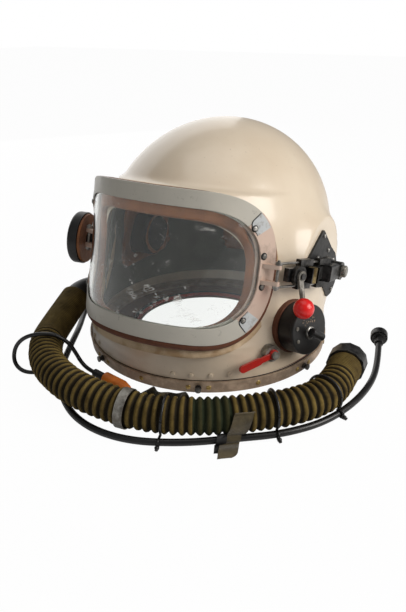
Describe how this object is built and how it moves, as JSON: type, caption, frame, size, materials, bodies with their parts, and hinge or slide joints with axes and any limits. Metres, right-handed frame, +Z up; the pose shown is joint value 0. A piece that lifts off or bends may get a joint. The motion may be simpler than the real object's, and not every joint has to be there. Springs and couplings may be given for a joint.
{
  "type": "pressure helmet",
  "caption": "Full-pressure helmet: drawn shell on a neck ring, lift-up curved visor on wire arms with a latch lever, ventilation valve, ribbed hose and cable.",
  "frame": {"origin": "centre of the neck ring's lower face, on the floor that the ring stands on", "axes": "+Z up, the wearer faces -Y, the wearer's left is +X"},
  "size_m": [0.366, 0.4108, 0.2412],
  "materials": {
    "shell_paint": "cream gloss paint on light alloy, worn",
    "frame_paint": "blue-grey satin paint on light alloy",
    "bare_aluminium": "satin, slightly worn",
    "tan_ring": "tan satin",
    "brown_rubber": "matte",
    "black_rubber": "matte",
    "dark_ring": "satin",
    "yellow_screws": "yellow plated",
    "clear_pane": "clear with fine scratches",
    "black_moulded": "satin black",
    "red_gloss": "glossy",
    "red_matte": "matte",
    "steel": "bright",
    "dark_steel": "blackened",
    "brass": "dull",
    "black_plate": "semi-gloss",
    "brown_leather": "worn",
    "liner_cloth": "grey-green",
    "olive_cloth": "olive cloth",
    "webbing": "olive webbing",
    "black_cable": "smooth",
    "orange_plastic": "satin",
    "grey_metal": "grey satin"
  },
  "bodies": {
    "helmet": {"shell": "shell_paint", "face_ring": "tan_ring", "ear_plates": "black_plate", "rivets": "steel", "pivot_bolts": "dark_steel", "neck_ring": "dark_ring", "ring_lugs": "dark_steel", "ring_screws": "yellow_screws", "neck_seal": "brown_rubber", "piping_red": "red_matte", "piping_black": "black_rubber", "valve_gasket": "brown_rubber", "valve_housing": "black_moulded", "valve_cover": "black_moulded", "valve_fittings": "grey_metal", "lever_boss": "grey_metal", "liner": "liner_cloth", "side_pads": "brown_leather", "crown_pad": "brown_leather", "nape_pad": "brown_leather", "brow_pad": "brown_leather", "earphones": "black_rubber", "earphone_rings": "brown_leather", "hose_elbow": "black_moulded", "cable_gland": "dark_steel", "hose": "olive_cloth", "hose_cuff": "black_rubber", "hose_spigot": "grey_metal", "hose_clamp": "grey_metal", "cable": "black_cable", "plug": "black_moulded", "lead": "black_cable", "lead_sleeve": "black_rubber", "lead_connector": "orange_plastic", "strap": "webbing", "ties": "black_rubber", "cloth_tab": "webbing"},
    "arms": {"yokes": "dark_steel", "latch_block_left": "dark_steel", "latch_block_right": "dark_steel", "latch_barrel": "brass", "arm_cover_pad": "brown_leather", "arm_cover": "black_moulded"},
    "visor": {"frame_lower": "frame_paint", "frame_upper": "frame_paint", "frame_end_left": "bare_aluminium", "frame_end_right": "bare_aluminium", "frame_screws": "steel", "visor_glass": "clear_pane", "glass_seal": "black_rubber", "visor_gasket": "brown_rubber", "hinge_pins": "steel", "bail_rods": "steel"},
    "lever": {"latch_lever": "steel", "lever_ball": "red_gloss"},
    "tap": {"valve_tap": "black_moulded"},
    "chin_lever": {"red_lever": "red_matte"},
    "nut": {"hose_nut": "dark_steel"},
    "ring_of_plug": {"plug_ring": "dark_steel"}
  },
  "joints": [
    {"name": "visor_lift", "type": "hinge", "parent": "helmet", "child": "arms", "pos_m": [0, 0.03046, 0.0942], "axis": [-1, 0, 0], "range_deg": [0, 85]},
    {"name": "visor_release", "type": "slide", "parent": "arms", "child": "visor", "axis": [0, -0.9744, 0.225], "range_m": [0, 0.003]},
    {"name": "latch_lever_turn", "type": "hinge", "parent": "arms", "child": "lever", "pos_m": [0.12817, -0.04591, 0.11183], "axis": [-0.9559, 0.2861, -0.0661], "range_deg": [0, 82]},
    {"name": "valve_tap_turn", "type": "hinge", "parent": "helmet", "child": "tap", "pos_m": [0.14102, -0.04307, 0.05296], "axis": [0.9393, -0.3052, 0.1564], "range_deg": [0, 90]},
    {"name": "red_lever_turn", "type": "hinge", "parent": "helmet", "child": "chin_lever", "pos_m": [0.11535, -0.0734, 0.03608], "axis": [0.8398, -0.5248, 0.1392], "range_deg": [-60, 0]},
    {"name": "hose_nut_spin", "type": "hinge", "parent": "helmet", "child": "nut", "pos_m": [0.1768, -0.027, 0.0206], "axis": [-0.0935, 0.995, 0.0338], "continuous": true},
    {"name": "plug_ring_spin", "type": "hinge", "parent": "helmet", "child": "ring_of_plug", "pos_m": [0.18506, 0.06489, 0.01155], "axis": [-0.2543, 0.9605, 0.113], "continuous": true}
  ],
  "couplings": [
    {"joint": "latch_lever_turn", "follows": "visor_release", "rad_per_m": 465.42}
  ]
}
